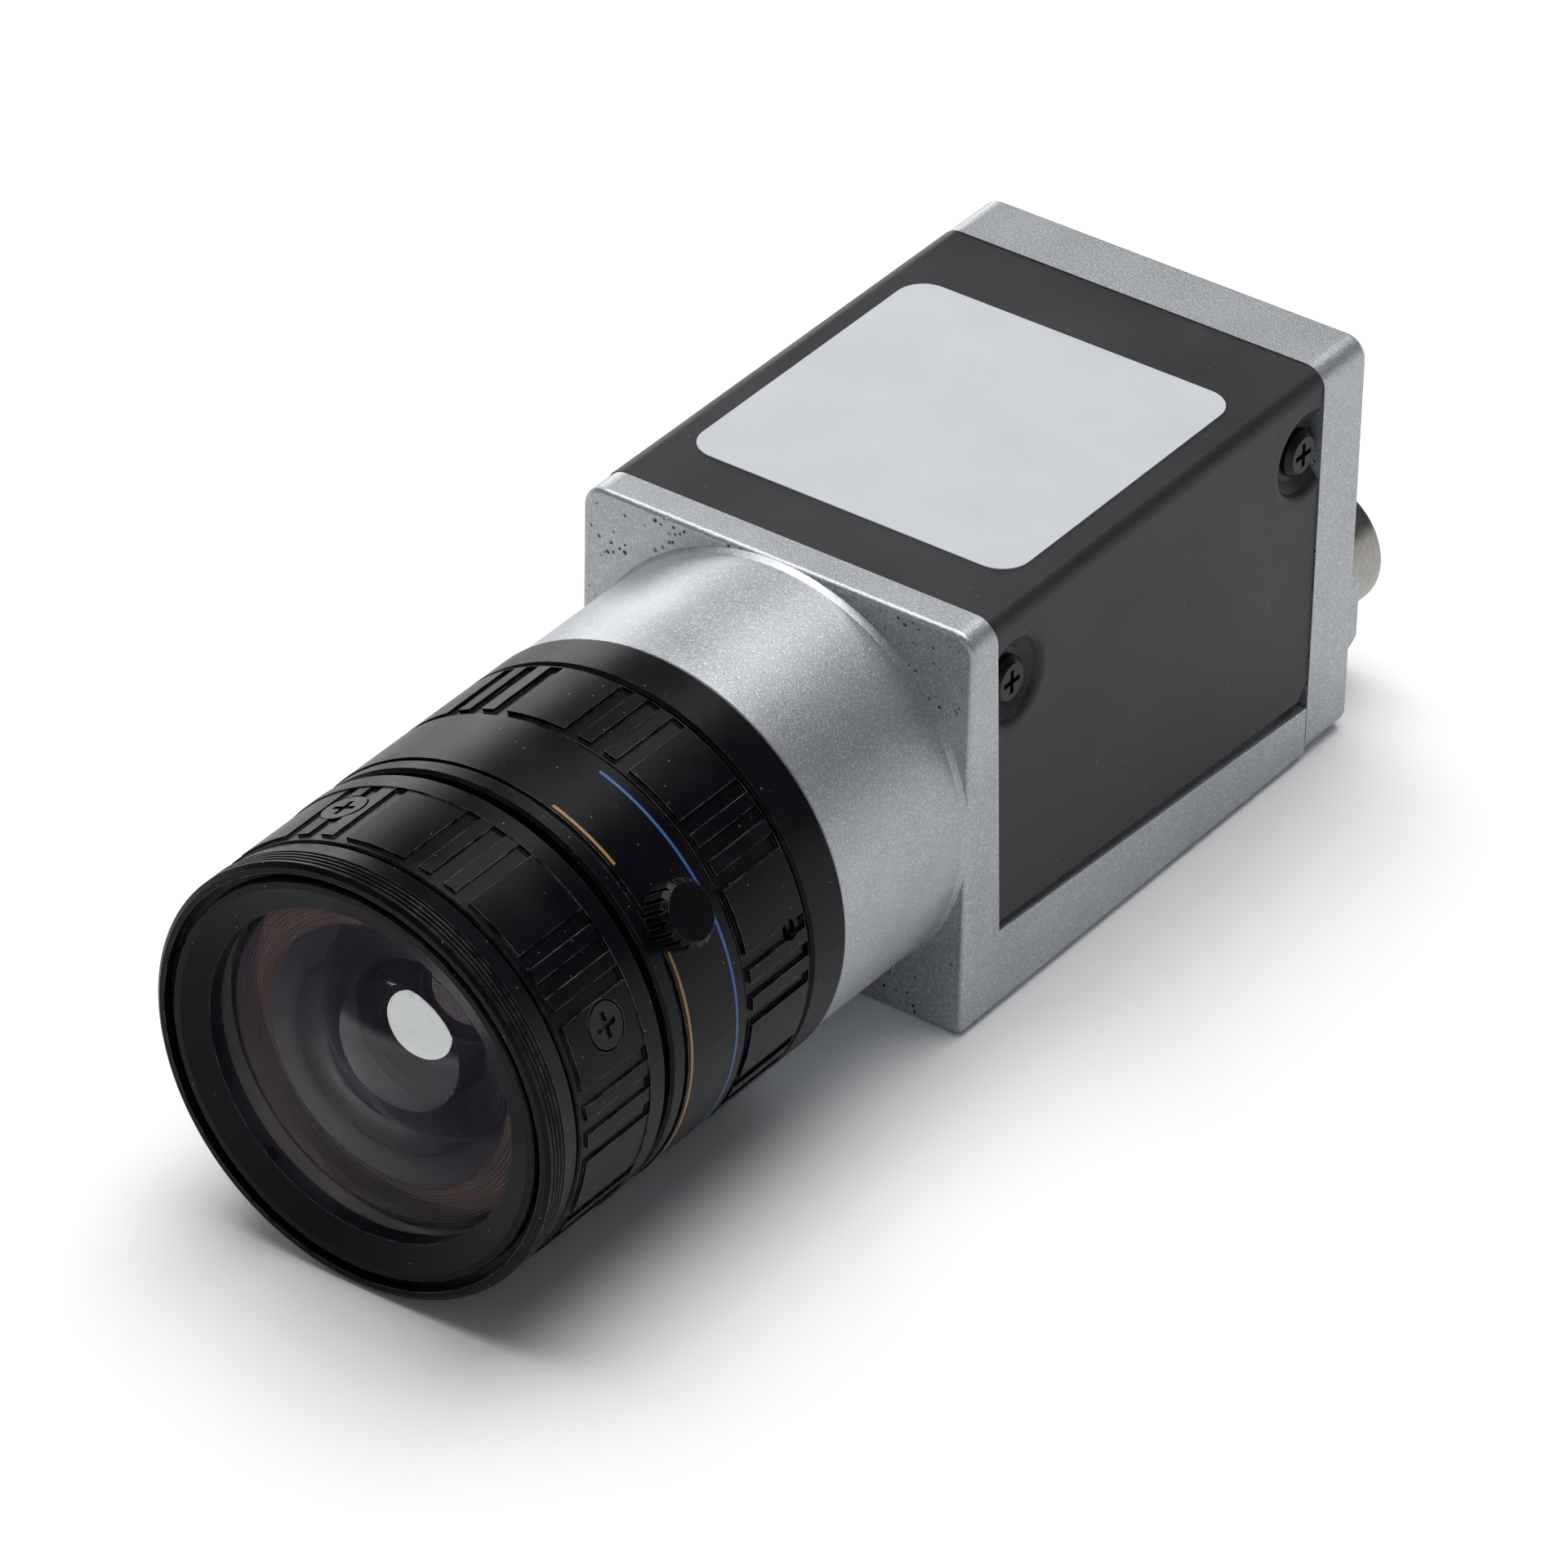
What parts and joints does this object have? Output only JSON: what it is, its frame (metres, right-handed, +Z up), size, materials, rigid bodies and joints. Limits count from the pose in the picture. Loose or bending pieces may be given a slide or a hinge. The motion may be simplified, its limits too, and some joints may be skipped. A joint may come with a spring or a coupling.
{
  "type": "machine vision camera",
  "caption": "Small square camera for machine vision with a sheet metal cover over cast ends, Ethernet and round power sockets behind, and a screw-in lens with iris and focus rings.",
  "frame": {"origin": "on the underside, midway between the four base screw holes", "axes": "+Y points back from the lens to the sockets, +X to the side with the round power socket, +Z up"},
  "size_m": [0.029, 0.0909, 0.029],
  "materials": {
    "cast_silver": "satin silver paint on a die casting",
    "cover_black": "satin black powder coat",
    "label_film": "pale grey satin film",
    "lens_black": "semi-gloss black anodised",
    "screw_black": "black oxide",
    "optical_glass": "coated",
    "nickel": "satin nickel",
    "circuit_board": "solder mask",
    "chip_black": "moulded",
    "insulator_black": "moulded",
    "sensor_ceramic": "fired ceramic",
    "silicon": "polished",
    "gold_contact": "gold plated",
    "light_pipe": "clear moulded",
    "blade_black": "blackened spring steel",
    "brass_plain": "turned"
  },
  "bodies": {
    "camera": {"front_housing": "cast_silver", "rear_plate": "cast_silver", "cover": "cover_black", "cover_screws": "screw_black", "label_plate": "label_film", "infrared_filter": "optical_glass", "filter_ring": "lens_black", "sensor_package": "sensor_ceramic", "sensor_die": "silicon", "sensor_window": "optical_glass", "sensor_board": "circuit_board", "processor_board": "circuit_board", "interface_board": "circuit_board", "board_spacers": "brass_plain", "board_screws": "nickel", "board_chips": "chip_black", "board_connectors": "insulator_black", "ethernet_shell": "nickel", "ethernet_insert": "insulator_black", "ethernet_contacts": "gold_contact", "power_shell": "nickel", "power_insulator": "insulator_black", "power_pins": "gold_contact", "power_board": "circuit_board", "power_header": "insulator_black", "status_light": "light_pipe", "lens_barrel": "lens_black", "index_band": "lens_black", "lock_pad": "insulator_black", "iris_cage": "lens_black", "rear_cell": "lens_black", "rear_ring": "lens_black", "rear_doublet": "optical_glass", "rear_element": "optical_glass"},
    "iris_ring_set": {"iris_ring": "lens_black", "iris_drive_screw": "screw_black", "iris_drive_ring": "lens_black"},
    "blade_1": {"iris_blade_1": "blade_black"},
    "blade_2": {"iris_blade_2": "blade_black"},
    "blade_3": {"iris_blade_3": "blade_black"},
    "blade_4": {"iris_blade_4": "blade_black"},
    "blade_5": {"iris_blade_5": "blade_black"},
    "blade_6": {"iris_blade_6": "blade_black"},
    "focus_ring_set": {"focus_ring": "lens_black", "focus_sleeve": "lens_black", "focus_ring_screws": "screw_black"},
    "focusing_cell": {"focus_cell": "lens_black", "front_retainer": "lens_black", "front_element": "optical_glass", "baffle_cone": "lens_black", "second_element": "optical_glass", "second_ring": "lens_black"},
    "lock": {"lock_screw": "lens_black"}
  },
  "joints": [
    {"name": "iris_turn", "type": "hinge", "parent": "camera", "child": "iris_ring_set", "pos_m": [0, -0.0373, 0.0145], "axis": [0, -1, 0], "range_deg": [0, 54]},
    {"name": "blade_swing_1", "type": "hinge", "parent": "camera", "child": "blade_1", "pos_m": [0.0094, -0.0377, 0.0145], "axis": [0, -1, 0], "range_deg": [0, 22.7]},
    {"name": "blade_swing_2", "type": "hinge", "parent": "camera", "child": "blade_2", "pos_m": [0.0047, -0.0377, 0.02264], "axis": [0, -1, 0], "range_deg": [0, 22.7]},
    {"name": "blade_swing_3", "type": "hinge", "parent": "camera", "child": "blade_3", "pos_m": [-0.0047, -0.0377, 0.02264], "axis": [0, -1, 0], "range_deg": [0, 22.7]},
    {"name": "blade_swing_4", "type": "hinge", "parent": "camera", "child": "blade_4", "pos_m": [-0.0094, -0.0377, 0.0145], "axis": [0, -1, 0], "range_deg": [0, 22.7]},
    {"name": "blade_swing_5", "type": "hinge", "parent": "camera", "child": "blade_5", "pos_m": [-0.0047, -0.0377, 0.00636], "axis": [0, -1, 0], "range_deg": [0, 22.7]},
    {"name": "blade_swing_6", "type": "hinge", "parent": "camera", "child": "blade_6", "pos_m": [0.0047, -0.0377, 0.00636], "axis": [0, -1, 0], "range_deg": [0, 22.7]},
    {"name": "focus_turn", "type": "hinge", "parent": "camera", "child": "focus_ring_set", "pos_m": [0, -0.0527, 0.0145], "axis": [0, -1, 0], "range_deg": [0, 90]},
    {"name": "focus_travel", "type": "slide", "parent": "camera", "child": "focusing_cell", "axis": [0, -1, 0], "range_m": [0, 0.00064]},
    {"name": "lock_screw_turn", "type": "hinge", "parent": "camera", "child": "lock", "pos_m": [0.01265, -0.045, 0.02346], "axis": [0.8161, 0, 0.5779], "range_deg": [0, 720]}
  ],
  "couplings": [
    {"joint": "blade_swing_1", "follows": "iris_turn", "ratio": 0.42037},
    {"joint": "blade_swing_2", "follows": "iris_turn", "ratio": 0.42037},
    {"joint": "blade_swing_3", "follows": "iris_turn", "ratio": 0.42037},
    {"joint": "blade_swing_4", "follows": "iris_turn", "ratio": 0.42037},
    {"joint": "blade_swing_5", "follows": "iris_turn", "ratio": 0.42037},
    {"joint": "blade_swing_6", "follows": "iris_turn", "ratio": 0.42037},
    {"joint": "focus_turn", "follows": "focus_travel", "rad_per_m": 2454.4}
  ]
}
